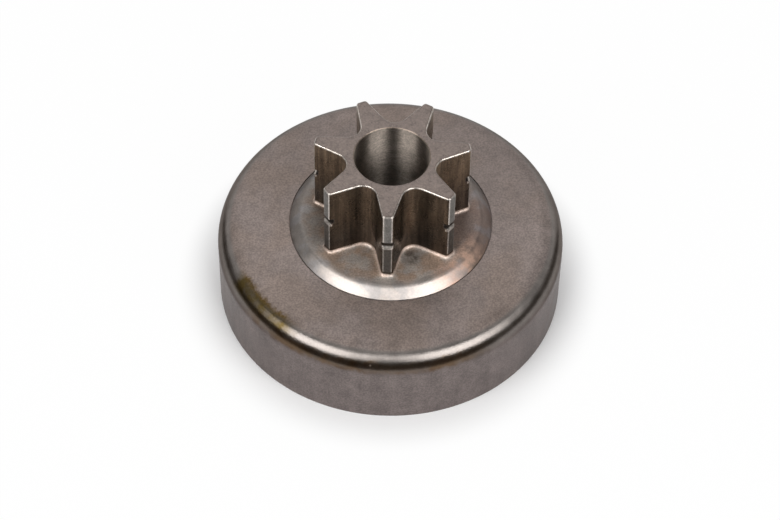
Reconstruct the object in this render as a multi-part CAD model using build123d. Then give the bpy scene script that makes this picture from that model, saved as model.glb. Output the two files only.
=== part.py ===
from build123d import *
import math
import os

# Chainsaw clutch drum with a spur sprocket, in millimetres and degrees.
# The drum is a drawn steel cup that stands on its open rim. The sprocket is a separate
# steel piece: its flange sits in a shallow seat on the drum's face, its spigot passes
# through the drum, and the two are brazed together.
# The origin is the middle of the open rim. +Z runs along the axis, towards the teeth.
# One tooth points along -Y.

# Drum
drum_diameter = 80.0
drum_depth = 21.3
drum_wall = 2.5
drum_bend_radius = 5.7
rim_edge_break = 0.3

# Seat for the sprocket on the drum's face
seat_depth = 0.35
seat_gap = 0.25
braze_clearance = 0.05

# Sprocket flange and spigot
flange_diameter = 46.4
flange_rise = 2.2
flange_ledge = 1.95
flange_foot_land = 0.1
flange_shoulder_radius = 1.4
flange_edge_crown = 0.1
spigot_diameter = 25.0
spigot_overhang = 0.8
spigot_edge_break = 0.4

# Sprocket teeth
tooth_count = 7
tip_diameter = 36.0
root_diameter = 20.8
tip_width = 2.4
flank_angle = 14.0
tip_corner_radius = 0.7
tooth_length = 20.4
tooth_edge_radius = 0.45
tooth_base_radius = 1.0

# Groove turned across the tooth tips
groove_drop = 8.8
groove_height = 1.35
groove_depth = 1.0
groove_bevel = 0.5

# Bearing bore through the sprocket
bore_diameter = 17.0
bore_chamfer = 0.25

# Radii and levels that follow from the sizes above
drum_radius = drum_diameter / 2
drum_inner_radius = drum_radius - drum_wall
inner_bend_radius = max(drum_bend_radius - drum_wall, rim_edge_break)
tip_radius = tip_diameter / 2
root_radius = root_diameter / 2
spigot_radius = spigot_diameter / 2
flange_radius = flange_diameter / 2
flange_corner_radius = tip_radius + tooth_base_radius + flange_ledge
web_inner_level = drum_depth - drum_wall
seat_level = drum_depth - seat_depth
spigot_level = web_inner_level - spigot_overhang
flange_level = drum_depth + flange_rise
end_level = flange_level + tooth_length
groove_level = end_level - groove_drop
touch = 1e-4


def polar(radius, angle):
    return Vector(radius * math.cos(angle), radius * math.sin(angle))


def turned(section):
    """Solid of revolution from a section drawn with x as radius and y as height."""
    return revolve(Plane.XZ * section, axis=Axis.Z)


def corner(section, radius, level):
    return section.vertices().sort_by_distance(Vector(radius, level))[0]


def make_clutch_drum():
    seat_radius = flange_radius + seat_gap
    hole_radius = spigot_radius + braze_clearance
    section = make_face(
        Polyline(
            (drum_inner_radius, 0),
            (drum_radius, 0),
            (drum_radius, drum_depth),
            (seat_radius, drum_depth),
            (seat_radius, seat_level),
            (hole_radius, seat_level),
            (hole_radius, web_inner_level),
            (drum_inner_radius, web_inner_level),
            close=True,
        )
    )
    section = fillet(corner(section, drum_radius, drum_depth), drum_bend_radius)
    section = fillet(corner(section, drum_inner_radius, web_inner_level), inner_bend_radius)
    section = fillet(corner(section, drum_inner_radius, 0), rim_edge_break)
    section = fillet(corner(section, drum_radius, 0), rim_edge_break)
    return turned(section)


def tooth_outline():
    """Outline of the toothed section: straight flanks, tips on a circle and round valleys."""
    half_pitch = math.pi / tooth_count
    flank = math.radians(flank_angle)
    half_tip = tip_width / 2
    tip_reach = math.sqrt(tip_radius**2 - half_tip**2)

    # The two flanks of a valley would meet at this distance from the axis if they ran on.
    meet_reach = (half_tip + tip_reach * math.tan(flank)) / (math.tan(half_pitch) + math.tan(flank))
    meet_radius = meet_reach / math.cos(half_pitch)

    # The valley's arc touches both flanks and the root circle.
    half_valley = half_pitch + flank
    room = root_radius - meet_radius
    valley_radius = room * math.sin(half_valley) / (1 - math.sin(half_valley))
    flank_start = valley_radius / math.tan(half_valley)

    tip_end = Vector(tip_reach, half_tip)
    flank_end = Vector(meet_reach, meet_reach * math.tan(half_pitch))
    flank_end += Vector(math.cos(flank), -math.sin(flank)) * flank_start

    lines = []
    for tooth in range(tooth_count):
        angle = -math.pi / 2 + tooth * 2 * half_pitch
        turn = math.degrees(angle)
        left_tip = tip_end.rotate(Axis.Z, turn)
        left_root = flank_end.rotate(Axis.Z, turn)
        right_tip = Vector(tip_end.X, -tip_end.Y).rotate(Axis.Z, turn)
        right_root = Vector(flank_end.X, -flank_end.Y).rotate(Axis.Z, turn)
        next_root = right_root.rotate(Axis.Z, math.degrees(2 * half_pitch))
        lines.append(Line(right_root, right_tip))
        lines.append(ThreePointArc(right_tip, polar(tip_radius, angle), left_tip))
        lines.append(Line(left_tip, left_root))
        lines.append(ThreePointArc(left_root, polar(root_radius, angle + half_pitch), next_root))
    outline = make_face(Curve() + lines)
    tips = [v for v in outline.vertices() if abs(math.hypot(v.X, v.Y) - tip_radius) < touch]
    return fillet(tips, tip_corner_radius)


def make_flange():
    """Flange with a crowned sloping edge and the spigot below it, as one turned blank."""
    edge_foot = Vector(flange_radius, drum_depth)
    edge_top = Vector(flange_corner_radius, flange_level)
    along = edge_top - edge_foot
    outward = Vector(along.Y, -along.X).normalized()
    edge_middle = (edge_foot + edge_top) * 0.5 + outward * flange_edge_crown
    outline = Polyline(
        edge_top,
        (0, flange_level),
        (0, spigot_level),
        (spigot_radius, spigot_level),
        (spigot_radius, seat_level),
        (flange_radius, seat_level),
        edge_foot,
    )
    section = make_face(Curve() + [outline, ThreePointArc(edge_foot, edge_middle, edge_top)])

    # The round on the shoulder leaves a narrow land outside the tooth feet.
    slope = math.atan2(flange_rise, flange_radius - flange_corner_radius)
    shoulder_limit = (flange_ledge - flange_foot_land) / math.tan(slope / 2)
    shoulder = min(flange_shoulder_radius, shoulder_limit)
    section = fillet(corner(section, flange_corner_radius, flange_level), shoulder)
    section = chamfer(corner(section, spigot_radius, spigot_level), spigot_edge_break)
    return turned(section)


def make_tip_groove():
    """Ring that cuts the groove: a narrow slot with a bevelled lower lip."""
    past_tip = tip_radius + groove_depth
    slot_floor = groove_level - groove_height
    section = make_face(
        Polyline(
            (past_tip, groove_level),
            (tip_radius - groove_depth, groove_level),
            (tip_radius - groove_depth, slot_floor),
            (tip_radius - groove_bevel, slot_floor),
            (past_tip, slot_floor - groove_bevel - groove_depth),
            close=True,
        )
    )
    return turned(section)


def radius_at(edge):
    start = edge @ 0
    return math.hypot(start.X, start.Y)


def edges_at(solid, level):
    return solid.edges().filter_by_position(Axis.Z, level - touch, level + touch)


def make_spur_sprocket():
    teeth = extrude(Pos(0, 0, flange_level) * tooth_outline(), tooth_length)
    sprocket = make_flange() + teeth

    base_edges = [e for e in edges_at(sprocket, flange_level) if radius_at(e) < tip_radius + touch]
    sprocket = fillet(base_edges, tooth_base_radius)
    sprocket = fillet(edges_at(sprocket, end_level), tooth_edge_radius)

    bore_radius = bore_diameter / 2
    bore_length = end_level - spigot_level
    sprocket -= Pos(0, 0, spigot_level) * extrude(Circle(bore_radius), bore_length)
    mouths = edges_at(sprocket, end_level) + edges_at(sprocket, spigot_level)
    bore_mouths = [e for e in mouths if abs(radius_at(e) - bore_radius) < touch]
    sprocket = chamfer(bore_mouths, bore_chamfer)

    return sprocket - make_tip_groove()


def main():
    os.makedirs("parts", exist_ok=True)
    pieces = {
        "clutch_drum": make_clutch_drum(),
        "spur_sprocket": make_spur_sprocket(),
    }
    for name, piece in pieces.items():
        export_step(piece, f"parts/{name}.step")


main()
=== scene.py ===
import bpy
import math
from mathutils import Matrix, Vector

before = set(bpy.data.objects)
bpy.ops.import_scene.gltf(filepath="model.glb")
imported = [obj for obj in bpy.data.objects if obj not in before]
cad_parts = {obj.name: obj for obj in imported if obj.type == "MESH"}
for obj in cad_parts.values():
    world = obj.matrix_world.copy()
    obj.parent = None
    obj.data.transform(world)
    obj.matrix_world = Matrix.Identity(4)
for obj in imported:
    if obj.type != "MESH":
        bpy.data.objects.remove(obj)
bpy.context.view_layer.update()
print("frame loaded:", ", ".join(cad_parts))

mm = 0.001


# small node helpers: a value may be a socket or a plain number or colour

def setSocket(tree, socket, value):
    if isinstance(value, bpy.types.NodeSocket):
        tree.links.new(value, socket)
    else:
        socket.default_value = value


def calc(tree, operation, first, second=0.0, clamp=False):
    node = tree.nodes.new("ShaderNodeMath")
    node.operation = operation
    node.use_clamp = clamp
    setSocket(tree, node.inputs[0], first)
    setSocket(tree, node.inputs[1], second)
    return node.outputs[0]


def combine(tree, operation, values):
    result = values[0]
    for value in values[1:]:
        result = calc(tree, operation, result, value)
    return result


def times(tree, *values):
    return combine(tree, "MULTIPLY", values)


def plus(tree, *values):
    return combine(tree, "ADD", values)


def larger(tree, *values):
    return combine(tree, "MAXIMUM", values)


def between(tree, amount, first, second):
    return plus(tree, first, times(tree, amount, calc(tree, "SUBTRACT", second, first)))


def fade(tree, value, start, end, low=0.0, high=1.0):
    if start > end:
        start, end, low, high = end, start, high, low
    node = tree.nodes.new("ShaderNodeMapRange")  # smooth step from low at start to high at end
    node.interpolation_type = "SMOOTHSTEP"
    parts = {"Value": value, "From Min": start, "From Max": end, "To Min": low, "To Max": high}
    for name, part in parts.items():
        setSocket(tree, node.inputs[name], part)
    return node.outputs["Result"]


def band(tree, value, start, full, fullEnd, end):
    return times(tree, fade(tree, value, start, full), fade(tree, value, end, fullEnd))


def blend(tree, amount, first, second, mode="MIX"):
    node = tree.nodes.new("ShaderNodeMix")
    node.data_type = "RGBA"
    node.blend_type = mode
    setSocket(tree, node.inputs[0], amount)
    setSocket(tree, node.inputs[6], first)  # 6 and 7 are this node's two colours
    setSocket(tree, node.inputs[7], second)
    return node.outputs[2]


def shade(tree, colour, value):
    grey = tree.nodes.new("ShaderNodeCombineColor")  # the colour made lighter or darker by a number
    for socket in grey.inputs:
        setSocket(tree, socket, value)
    return blend(tree, 1.0, colour, grey.outputs[0], "MULTIPLY")


def speckled(tree, colour, grain, shades, strength):
    speckle = calc(tree, "SUBTRACT", fade(tree, grain, *shades), 1.0)
    return shade(tree, colour, plus(tree, 1.0, times(tree, speckle, strength)))


def noise(tree, place, size, detail=3.0, rough=0.55, stretch=(1, 1, 1), shift=0.0):
    scaled = tree.nodes.new("ShaderNodeMapping")  # size is one feature's width in millimetres
    setSocket(tree, scaled.inputs["Vector"], place)
    scaled.inputs["Scale"].default_value = [part / size for part in stretch]
    scaled.inputs["Location"].default_value = (shift, shift, shift)
    node = tree.nodes.new("ShaderNodeTexNoise")
    setSocket(tree, node.inputs["Vector"], scaled.outputs[0])
    node.inputs["Scale"].default_value = 1.0
    node.inputs["Detail"].default_value = detail
    node.inputs["Roughness"].default_value = rough
    return node.outputs["Fac"]


def bump(tree, height, depth, before=None):
    node = tree.nodes.new("ShaderNodeBump")  # depth in millimetres
    node.inputs["Strength"].default_value = 1.0
    node.inputs["Distance"].default_value = depth * mm
    setSocket(tree, node.inputs["Height"], height)
    if before:
        setSocket(tree, node.inputs["Normal"], before)
    return node.outputs[0]


def polar(radius, angle, height):
    turn = math.radians(angle)
    return (radius * math.cos(turn), radius * math.sin(turn), height)


def spot(tree, place, centre, size, core=0.3):
    node = tree.nodes.new("ShaderNodeVectorMath")  # full inside the core's share of the size
    node.operation = "DISTANCE"
    setSocket(tree, node.inputs[0], place)
    node.inputs[1].default_value = polar(*centre)
    return fade(tree, node.outputs["Value"], size, size * core)


def newMaterial(name, shaderType):
    material = bpy.data.materials.new(name)
    material.use_nodes = True
    tree = material.node_tree
    tree.nodes.clear()
    shader = tree.nodes.new(shaderType)
    out = tree.nodes.new("ShaderNodeOutputMaterial")
    tree.links.new(shader.outputs[0], out.inputs["Surface"])
    return material, tree, shader


def roundPlaces(tree):
    scaled = tree.nodes.new("ShaderNodeMapping")  # object coordinates in millimetres
    tree.links.new(tree.nodes.new("ShaderNodeTexCoord").outputs["Object"], scaled.inputs["Vector"])
    scaled.inputs["Scale"].default_value = (1 / mm, 1 / mm, 1 / mm)
    place = scaled.outputs[0]
    parts = tree.nodes.new("ShaderNodeSeparateXYZ")
    tree.links.new(place, parts.inputs[0])
    x, y, height = parts.outputs
    radius = calc(tree, "SQRT", plus(tree, times(tree, x, x), times(tree, y, y)))
    angle = calc(tree, "DEGREES", calc(tree, "ARCTAN2", y, x))  # 0 to the right, -90 at the front
    return place, radius, height, angle


def setTangent(tree, shader):
    marks = tree.nodes.new("ShaderNodeTangent")  # runs round the axis
    marks.direction_type = "RADIAL"
    marks.axis = "Z"
    tree.links.new(marks.outputs[0], shader.inputs["Tangent"])


# drum steel
# places are in millimetres and degrees: two numbers fade in, four fade in and out again
# shades are two levels of a noise, place or mask, and then the strengths at those levels

drumLook = {
    "face": (0.268, 0.222, 0.204, 1),
    "faceWarm": (0.258, 0.207, 0.182, 1),
    "bend": (0.194, 0.174, 0.161, 1),
    "wall": (0.147, 0.122, 0.116, 1),
    "inside": (0.24, 0.21, 0.19, 1),
    "oil": (0.45, 0.355, 0.14, 1),
    "film": (0.78, 0.60, 0.42, 1),
    "edgeTint": (0.45, 0.43, 0.42, 1),
    "gloss": 0.2,
    "faceRough": (0.42, 0.52),
    "bendRough": (0.28, 0.32),
    "wallRough": (0.32, 0.42),
    "roughLevels": (0.3, 0.7),
    "bendDraw": 0.75,
    "faceMetal": 0.5,
    "wallMetal": 0.35,
    "bendMetal": 1.0,
    "insideMetal": 0.9,
    "broad": {"size": 15, "detail": 2},
    "cloud": {"size": 4, "detail": 4, "rough": 0.6},
    "grain": {"size": 0.42, "detail": 2},
    "draws": {"size": 3.5, "detail": 3, "stretch": (1, 1, 0.1), "shift": 9.0},
    "ragged": {"size": 3.2, "detail": 4, "rough": 0.6, "shift": 4.0},
    "patches": {"size": 6, "detail": 2, "shift": 1.0},
    "grainDepth": 0.02,
    "outsideRadius": (38.0, 38.6),
    "outsideHeight": (18.9, 19.6),
    "bendHeight": (14.5, 16.5, 20.3, 20.9),
    "polishedHeight": (14.5, 16.5, 20.0, 20.6),
    "wallHeight": (18.0, 15.0),
    "warmLevels": (0.4, 0.62),
    "cloudShades": (0.25, 0.75, 0.84, 1.14),
    "grainShades": (0.25, 0.75, 0.78, 1.20),
    "bendGrain": 0.35,
    "drawShades": (0.3, 0.7, 0.92, 1.10),
    "raggedAngle": 10.0,
    "oilRagged": 0.35,
    "oilAngle": (-156, -150, -128, -120),
    "oilRadius": (35.9, 36.9),
    "oilHeight": (17.6, 19.2),
    "oilShades": (0.3, 0.55, 0.6, 1.0),
    "filmRagged": 0.3,
    "filmAngle": (-150, -128, -70, -45),
    "filmHeight": (15.4, 16.8, 18.2, 19.2),
    "filmShades": (0.36, 0.58, 0.5, 1.0),
    "nicks": (
        {"centre": (30.76, -45.5, 21.3), "size": 0.55},
        {"centre": (25.1, -105.8, 21.3), "size": 0.4},
        {"centre": (39.33, -93.8, 18.25), "size": 0.3},
    ),
    "nickDepth": 0.04,
}


def makeDrumSteel(look):
    material, tree, shader = newMaterial("drumSteel", "ShaderNodeBsdfPrincipled")
    place, radius, height, angle = roundPlaces(tree)
    broad, cloud, grain, draws, ragged, patches = (
        noise(tree, place, **look[name]) for name in ("broad", "cloud", "grain", "draws", "ragged", "patches")
    )

    # face, rounded edge, wall and inside
    outside = larger(tree, fade(tree, radius, *look["outsideRadius"]), fade(tree, height, *look["outsideHeight"]))
    bend = times(tree, band(tree, height, *look["bendHeight"]), outside)
    polished = times(tree, band(tree, height, *look["polishedHeight"]), outside)
    wall = times(tree, fade(tree, height, *look["wallHeight"]), outside)
    colour = blend(tree, fade(tree, broad, *look["warmLevels"]), look["face"], look["faceWarm"])
    colour = blend(tree, bend, colour, look["bend"])
    colour = blend(tree, wall, colour, look["wall"])
    colour = blend(tree, outside, look["inside"], colour)
    colour = shade(tree, colour, fade(tree, cloud, *look["cloudShades"]))
    colour = speckled(tree, colour, grain, look["grainShades"], fade(tree, bend, 0, 1, 1.0, look["bendGrain"]))
    colour = shade(tree, colour, between(tree, wall, 1.0, fade(tree, draws, *look["drawShades"])))

    # oil dried on the rounded edge, and a brown film just below it
    ragged = plus(tree, times(tree, ragged, look["raggedAngle"]), -look["raggedAngle"] / 2)
    oilAngle = band(tree, plus(tree, angle, ragged), *look["oilAngle"])
    oilRadius = fade(tree, plus(tree, radius, times(tree, ragged, look["oilRagged"])), *look["oilRadius"])
    oilHeight = fade(tree, height, *look["oilHeight"])
    oil = times(tree, oilAngle, oilRadius, oilHeight, fade(tree, cloud, *look["oilShades"]))
    colour = blend(tree, oil, colour, look["oil"], "MULTIPLY")
    filmAngle = band(tree, angle, *look["filmAngle"])
    filmHeight = band(tree, plus(tree, height, times(tree, ragged, look["filmRagged"])), *look["filmHeight"])
    film = times(tree, filmAngle, filmHeight, fade(tree, patches, *look["filmShades"]), outside)
    colour = blend(tree, film, colour, look["film"], "MULTIPLY")
    setSocket(tree, shader.inputs["Base Color"], colour)

    faceRough, wallRough, bendRough = (
        fade(tree, cloud, *look["roughLevels"], *look[name]) for name in ("faceRough", "wallRough", "bendRough")
    )
    rough = between(tree, bend, between(tree, wall, faceRough, wallRough), bendRough)
    setSocket(tree, shader.inputs["Roughness"], rough)

    # draw marks run over the rounded edge, so its shine spreads along the edge
    setTangent(tree, shader)
    setSocket(tree, shader.inputs["Anisotropic"], times(tree, bend, look["bendDraw"]))

    metal = between(tree, wall, look["faceMetal"], look["wallMetal"])
    metal = between(tree, polished, metal, look["bendMetal"])
    setSocket(tree, shader.inputs["Metallic"], between(tree, outside, look["insideMetal"], metal))

    nicks = larger(tree, *[spot(tree, place, **nick) for nick in look["nicks"]])
    normal = bump(tree, grain, look["grainDepth"])
    normal = bump(tree, times(tree, nicks, -1), look["nickDepth"], normal)
    setSocket(tree, shader.inputs["Normal"], normal)
    shader.inputs["Specular IOR Level"].default_value = look["gloss"]
    shader.inputs["Specular Tint"].default_value = look["edgeTint"]
    return material


# sprocket steel, with places and shades given as for the drum

sprocketLook = {
    "end": (0.176, 0.141, 0.125, 1),
    "flank": (0.112, 0.081, 0.055, 1),
    "paintedFootShade": (0.052, 0.040, 0.031, 1),
    "tip": (0.27, 0.255, 0.24, 1),
    "wornAndHighlight": (0.58, 0.53, 0.485, 1),
    "groove": (0.085, 0.070, 0.060, 1),
    "flange": (0.445, 0.395, 0.355, 1),
    "bevel": (0.59, 0.54, 0.505, 1),
    "straw": (0.43, 0.315, 0.24, 1),
    "rust": (0.24, 0.172, 0.148, 1),
    "copper": (0.63, 0.42, 0.32, 1),
    "blue": (0.32, 0.32, 0.335, 1),
    "scale": (0.15, 0.125, 0.105, 1),
    "brazeAndHighlight": (0.62, 0.50, 0.43, 1),
    "bore": (0.275, 0.237, 0.204, 1),
    "edgeTint": (0.70, 0.68, 0.66, 1),
    "flankRough": (0.25, 0.35),
    "flangeRough": (0.44, 0.54),
    "roughLevels": (0.3, 0.7),
    "turnedRough": 0.42,
    "boreRough": 0.54,
    "tipTurned": 0.9,
    "turnedDirection": 0.25,
    "flankMetal": 0.75,
    "endMetal": 0.35,
    "flangeMetal": 0.55,
    "bevelMetal": 0.9,
    "broad": {"size": 5, "detail": 3},
    "cloud": {"size": 2.6, "detail": 4, "rough": 0.6},
    "grain": {"size": 0.42, "detail": 2},
    "streaks": {"size": 0.9, "detail": 3, "rough": 0.6, "stretch": (1, 1, 0.06)},
    "chips": {"size": 0.8, "detail": 3, "rough": 0.6, "shift": 2.0},
    "stains": {"size": 4.5, "detail": 3, "rough": 0.5, "shift": 7.0},
    "turning": {"size": 0.22, "detail": 3, "rough": 0.6, "stretch": (0.12, 0.12, 1)},
    "grainDepth": 0.02,
    "turningDepth": 0.005,
    "toothCount": 7,
    "firstTooth": -90,
    "boreRadius": (8.72, 8.55),
    "endHeight": (43.8, 43.88),
    "edgeHeight": (43.4, 43.6, 43.82, 43.89),
    "edgeRadius": (8.8, 9.2),
    "tipAlong": (17.2, 17.5),
    "tipAcross": (1.15, 1.02),
    "tipHeight": (24.4, 25.2),
    "cornerAcross": (0.78, 0.92, 1.05, 1.15),
    "grooveHeight": (33.2, 33.7, 35.0, 35.15),
    "grooveAlong": (16.6, 16.9, 17.5, 17.75),
    "lipHeight": (32.6, 32.9, 33.7, 33.85),
    "lipAlong": (17.2, 17.4),
    "flankHeight": (40.0, 25.0),
    "streakShades": (0.3, 0.7, 0.65, 1.4),
    "valleyShades": (11.4, 10.7, 0.74, 1.5),
    "outerShades": (12.5, 16.0, 1.0, 1.35),
    "shadedFrontAngle": (-165, -135, -45, -15),
    "paintedFrontShades": (0, 1, 1.5, 0.82),
    "tipShades": (33.0, 35.5, 0.35, 1.0),
    "chipShades": (0.35, 0.6, 0.5, 1.0),
    "flangeHeight": (24.4, 23.8),
    "strawLevels": (0.38, 0.6),
    "bevelRadius": (18.6, 21.6),
    "bevelTint": 0.85,
    "paintedLitAngle": (-165, -110, -55, -22),
    "paintedLitShades": (0, 1, 0.44, 1.0),
    "rustAngle": (-45, -15, 8, 40),
    "rustTint": 0.7,
    "copperAngle": (-66, -48, -34, -8),
    "copperRadius": (17.5, 20.0),
    "copperShades": (0.25, 0.62, 0.25, 0.9),
    "blueRadius": (17.0, 20.5),
    "blueShades": (0.48, 0.62, 0.0, 0.4),
    "scaleSpot": {"centre": (13.2, -66, 23.5), "size": 3.2},
    "scaleLevels": (0.35, 0.6),
    "brazeHeight": (23.6, 23.85, 24.1, 24.45),
    "brazeShades": (0.3, 0.6, 0.2, 0.9),
    "turningShades": (0.3, 0.7, 0.85, 1.2),
    "cloudShades": (0.25, 0.75, 0.84, 1.14),
    "grainShades": (0.25, 0.75, 0.76, 1.22),
    "bevelGrain": 0.3,
}


def makeSprocketSteel(look):
    material, tree, shader = newMaterial("sprocketSteel", "ShaderNodeBsdfPrincipled")
    place, radius, height, angle = roundPlaces(tree)
    broad, cloud, grain, streaks, chips, stains, turning = (
        noise(tree, place, **look[name])
        for name in ("broad", "cloud", "grain", "streaks", "chips", "stains", "turning")
    )

    # places along and across the nearest tooth
    halfPitch = math.pi / look["toothCount"]
    turn = calc(tree, "RADIANS", calc(tree, "SUBTRACT", angle, look["firstTooth"]))
    fold = calc(tree, "PINGPONG", turn, halfPitch)
    along = times(tree, radius, calc(tree, "COSINE", fold))
    across = times(tree, radius, calc(tree, "SINE", fold))

    bore = fade(tree, radius, *look["boreRadius"])
    end = fade(tree, height, *look["endHeight"])
    edge = times(tree, band(tree, height, *look["edgeHeight"]), fade(tree, radius, *look["edgeRadius"]))
    tip = times(
        tree,
        fade(tree, along, *look["tipAlong"]),
        fade(tree, across, *look["tipAcross"]),
        fade(tree, height, *look["tipHeight"]),
    )
    corner = times(tree, tip, band(tree, across, *look["cornerAcross"]))
    groove = times(tree, band(tree, height, *look["grooveHeight"]), band(tree, along, *look["grooveAlong"]))
    lip = times(tree, band(tree, height, *look["lipHeight"]), fade(tree, along, *look["lipAlong"]))

    # teeth: dark brown flanks rubbed in the valleys, with painted shade towards their feet and at the front,
    # paler tips, worn edges lightened by a painted highlight, and painted shade in the groove
    # the flanks turn darker towards their feet, where the teeth meet the flange: painted shade
    colour = blend(tree, fade(tree, height, *look["flankHeight"]), look["flank"], look["paintedFootShade"])
    colour = shade(tree, colour, fade(tree, streaks, *look["streakShades"]))
    colour = shade(tree, colour, fade(tree, radius, *look["valleyShades"]))
    colour = shade(tree, colour, fade(tree, radius, *look["outerShades"]))
    # flanks darker towards the front and lighter round the sides and back: painted shade and painted light
    shadedFront = band(tree, angle, *look["shadedFrontAngle"])
    colour = shade(tree, colour, fade(tree, shadedFront, *look["paintedFrontShades"]))
    upper = fade(tree, height, *look["tipShades"])
    colour = blend(tree, times(tree, tip, upper), colour, look["tip"])
    # tip corners, top edges and the groove's lower lip: worn metal, lightened further as a painted highlight
    colour = blend(tree, times(tree, corner, upper), colour, look["wornAndHighlight"])
    chipped = fade(tree, chips, *look["chipShades"])
    colour = blend(tree, times(tree, larger(tree, edge, lip), chipped), colour, look["wornAndHighlight"])
    colour = blend(tree, end, colour, look["end"])
    # dark colour in the groove: painted shade
    colour = blend(tree, groove, colour, look["groove"])

    # flange: heat tints left by the brazing, with painted shade darkening it away from its front-left side
    flange = fade(tree, height, *look["flangeHeight"])
    bevel = times(tree, flange, fade(tree, radius, *look["bevelRadius"]))
    tints = blend(tree, fade(tree, broad, *look["strawLevels"]), look["flange"], look["straw"])
    tints = blend(tree, times(tree, bevel, look["bevelTint"]), tints, look["bevel"])
    # full tint on the front-left side of the flange, darker elsewhere: painted shade
    paintedLitSide = band(tree, angle, *look["paintedLitAngle"])
    tints = shade(tree, tints, fade(tree, paintedLitSide, *look["paintedLitShades"]))
    rust = times(tree, band(tree, angle, *look["rustAngle"]), look["rustTint"])
    tints = blend(tree, rust, tints, look["rust"])
    copper = times(
        tree,
        band(tree, angle, *look["copperAngle"]),
        fade(tree, cloud, *look["copperShades"]),
        fade(tree, radius, *look["copperRadius"]),
    )
    tints = blend(tree, copper, tints, look["copper"])
    blue = times(tree, fade(tree, stains, *look["blueShades"]), fade(tree, radius, *look["blueRadius"]))
    tints = blend(tree, blue, tints, look["blue"])
    scale = times(tree, spot(tree, place, **look["scaleSpot"]), fade(tree, cloud, *look["scaleLevels"]))
    tints = blend(tree, scale, tints, look["scale"])
    colour = blend(tree, flange, colour, tints)
    # braze along the tooth feet, made lighter as a painted highlight of the fillet
    brazeAndHighlight = times(tree, band(tree, height, *look["brazeHeight"]), fade(tree, cloud, *look["brazeShades"]))
    colour = blend(tree, brazeAndHighlight, colour, look["brazeAndHighlight"])

    # bore, then the mottling over all of it
    colour = blend(tree, bore, colour, look["bore"])
    colour = shade(tree, colour, between(tree, bore, 1.0, fade(tree, turning, *look["turningShades"])))
    colour = shade(tree, colour, fade(tree, cloud, *look["cloudShades"]))
    calm = fade(tree, bevel, 0, 1, 1.0, look["bevelGrain"])
    colour = speckled(tree, colour, grain, look["grainShades"], calm)
    setSocket(tree, shader.inputs["Base Color"], colour)

    turned = larger(tree, bore, times(tree, tip, look["tipTurned"]))
    flankRough, flangeRough = (
        fade(tree, cloud, *look["roughLevels"], *look[name]) for name in ("flankRough", "flangeRough")
    )
    turnedRough = between(tree, bore, look["turnedRough"], look["boreRough"])
    rough = between(tree, turned, between(tree, flange, flankRough, flangeRough), turnedRough)
    setSocket(tree, shader.inputs["Roughness"], rough)

    # turned surfaces spread their shine along the axis
    setTangent(tree, shader)
    shader.inputs["Anisotropic Rotation"].default_value = look["turnedDirection"]
    setSocket(tree, shader.inputs["Anisotropic"], turned)

    flangeMetal = between(tree, bevel, look["flangeMetal"], look["bevelMetal"])
    metal = between(tree, flange, look["flankMetal"], flangeMetal)
    metal = between(tree, end, metal, look["endMetal"])
    setSocket(tree, shader.inputs["Metallic"], larger(tree, metal, bore))

    rubbed = times(tree, grain, calm, calc(tree, "SUBTRACT", 1.0, bore))
    normal = bump(tree, rubbed, look["grainDepth"])
    normal = bump(tree, times(tree, turning, bore), look["turningDepth"], normal)
    setSocket(tree, shader.inputs["Normal"], normal)
    shader.inputs["Specular Tint"].default_value = look["edgeTint"]
    return material


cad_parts["clutch_drum"].material_slots[0].material = makeDrumSteel(drumLook)
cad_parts["spur_sprocket"].material_slots[0].material = makeSprocketSteel(sprocketLook)
print("steel finishes assigned")


# floor

floorLook = {
    "size": 6.0,
    "pale": (0.9, 0.9, 0.9, 1),
    "whiteRadius": (38.5, 51),
    "white": 0.97,
}


def seenDirectly(tree):
    rays = tree.nodes.new("ShaderNodeLightPath")  # by the camera, or in a mirror or glass
    seen = calc(tree, "ADD", rays.outputs["Is Camera Ray"], rays.outputs["Is Glossy Ray"], clamp=True)
    return calc(tree, "ADD", seen, rays.outputs["Is Transmission Ray"], clamp=True)


def makeFloor(look):
    bpy.ops.object.select_all(action="DESELECT")
    bpy.ops.mesh.primitive_plane_add(size=look["size"])
    floor = bpy.context.object
    floor.name = "studioFloor"
    material, tree, mix = newMaterial("paleFloor", "ShaderNodeMixShader")
    matte = tree.nodes.new("ShaderNodeBsdfDiffuse")
    matte.inputs["Color"].default_value = look["pale"]
    white = tree.nodes.new("ShaderNodeEmission")  # turns white away from the object's shadow
    radius = roundPlaces(tree)[1]
    reach = fade(tree, radius, *look["whiteRadius"], 0.0, look["white"])
    setSocket(tree, mix.inputs[0], times(tree, seenDirectly(tree), reach))
    tree.links.new(matte.outputs[0], mix.inputs[1])
    tree.links.new(white.outputs[0], mix.inputs[2])
    floor.data.materials.append(material)


makeFloor(floorLook)


# studio light

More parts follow.
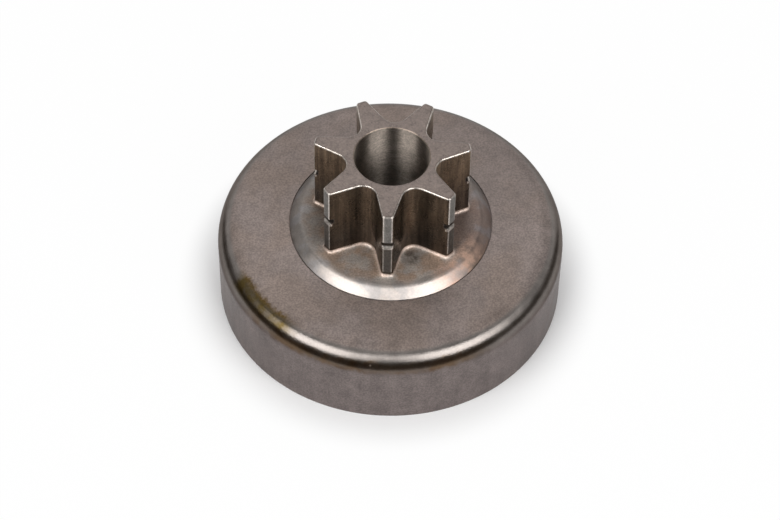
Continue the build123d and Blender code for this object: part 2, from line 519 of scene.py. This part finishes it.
worldLook = {"room": (0.10, 0.10, 0.10, 1)}
softLights = {
    "leftSoftbox": {"azimuth": -42, "elevation": 32, "distance": 1.2, "size": (0.94, 0.58), "glow": 6.1},
    "rightSoftbox": {"azimuth": 42, "elevation": 32, "distance": 1.2, "size": (0.94, 0.58), "glow": 6.1},
    "leftBoreLamp": {
        "azimuth": -49, "elevation": 60, "distance": 0.1, "size": (0.03, 0.04), "glow": 6.0,
        "aim": 38 * mm, "grid": 32,
    },
    "rightBoreLamp": {
        "azimuth": 50, "elevation": 60, "distance": 0.1, "size": (0.03, 0.04), "glow": 6.0,
        "aim": 38 * mm, "grid": 32,
    },
    "backPanel": {"azimuth": 192, "elevation": 52, "distance": 1.3, "size": (1.1, 0.9), "glow": 1.3},
}
curvedCards = {
    "darkCard": {
        "near": (115 * mm, 75 * mm), "grow": 9, "rise": 180 * mm, "middle": 0, "spread": 120,
        "sides": 96, "shade": (0.07, 0.053, 0.038, 1), "seen": False,
    },
    "backdrop": {
        "near": (2.2, 2.2), "grow": 1.1, "rise": 1.1, "middle": 180, "spread": 75,
        "sides": 96, "shade": (1, 1, 1, 1), "seen": True,
    },
}


def aroundObject(azimuth, elevation, distance):
    turn = math.radians(azimuth)
    lift = math.radians(elevation)
    flat = distance * math.cos(lift)
    return Vector((flat * math.sin(turn), -flat * math.cos(turn), distance * math.sin(lift)))


def makeWorld(look):
    world = bpy.data.worlds.new("studioWorld")
    bpy.context.scene.world = world
    world.use_nodes = True
    tree = world.node_tree
    tree.nodes.clear()
    back = tree.nodes.new("ShaderNodeBackground")
    back.inputs["Color"].default_value = look["room"]
    out = tree.nodes.new("ShaderNodeOutputWorld")
    tree.links.new(back.outputs[0], out.inputs["Surface"])


def makeSoftbox(name, look):
    data = bpy.data.lights.new(name, "AREA")
    data.shape = "RECTANGLE"
    data.size, data.size_y = look["size"]
    data.energy = look["glow"] * math.pi * data.size * data.size_y
    if "grid" in look:
        data.spread = math.radians(look["grid"])  # a grid on the lamp keeps its light in a narrow beam
        half = data.spread / 2
        data.energy *= 1 - half / math.tan(half)  # the middle of the beam stays as bright as glow
    lamp = bpy.data.objects.new(name, data)
    bpy.context.collection.objects.link(lamp)
    outward = aroundObject(look["azimuth"], look["elevation"], look["distance"])
    lamp.location = outward + Vector((0, 0, look.get("aim", 0)))
    lamp.rotation_euler = (-outward).to_track_quat("-Z", "Y").to_euler()


def makeCard(name, look):
    bpy.ops.object.select_all(action="DESELECT")
    bpy.ops.mesh.primitive_circle_add(vertices=look["sides"], radius=1, location=(0, 0, mm))
    card = bpy.context.object
    card.name = name
    bpy.ops.object.mode_set(mode="EDIT")
    bpy.ops.mesh.select_all(action="SELECT")
    bpy.ops.transform.resize(value=(*look["near"], 1))
    bpy.ops.mesh.extrude_edges_move(TRANSFORM_OT_translate={"value": (0, 0, look["rise"])})
    bpy.ops.transform.resize(value=(look["grow"], look["grow"], 1), center_override=(0, 0, 0))
    bpy.ops.object.mode_set(mode="OBJECT")
    for face in card.data.polygons:
        side = math.degrees(math.atan2(face.center.x, -face.center.y)) - look["middle"]
        face.select = abs((side + 180) % 360 - 180) > look["spread"]
    bpy.ops.object.mode_set(mode="EDIT")
    bpy.ops.mesh.select_mode(type="FACE")
    bpy.ops.mesh.delete(type="FACE")  # keeps the faces within the spread from the middle
    bpy.ops.object.mode_set(mode="OBJECT")
    material, tree, glow = newMaterial(name, "ShaderNodeEmission")
    glow.inputs["Color"].default_value = look["shade"]
    card.data.materials.append(material)
    card.visible_camera = look["seen"]
    card.visible_diffuse = False
    card.visible_shadow = False


makeWorld(worldLook)
for lightName, lightLook in softLights.items():
    makeSoftbox(lightName, lightLook)
for cardName, cardLook in curvedCards.items():
    makeCard(cardName, cardLook)
print("floor and light ready")


# camera

cameraLook = {
    "lens": 115.5,
    "azimuth": 1.983,
    "elevation": 51.376,
    "distance": 593.66 * mm,
    "aimHeight": 7.05 * mm,
    "roll": 1.052,
}


def makeCamera(look):
    data = bpy.data.cameras.new("photoCamera")
    data.lens = look["lens"]
    camera = bpy.data.objects.new("photoCamera", data)
    bpy.context.collection.objects.link(camera)
    camera.location = aroundObject(look["azimuth"], look["elevation"], look["distance"])
    aim = Vector((0, 0, look["aimHeight"])) - camera.location
    level = aim.to_track_quat("-Z", "Y").to_matrix()
    camera.rotation_euler = (level @ Matrix.Rotation(math.radians(look["roll"]), 3, "Z")).to_euler()
    bpy.context.scene.camera = camera


makeCamera(cameraLook)
bpy.context.scene.view_settings.view_transform = "Standard"
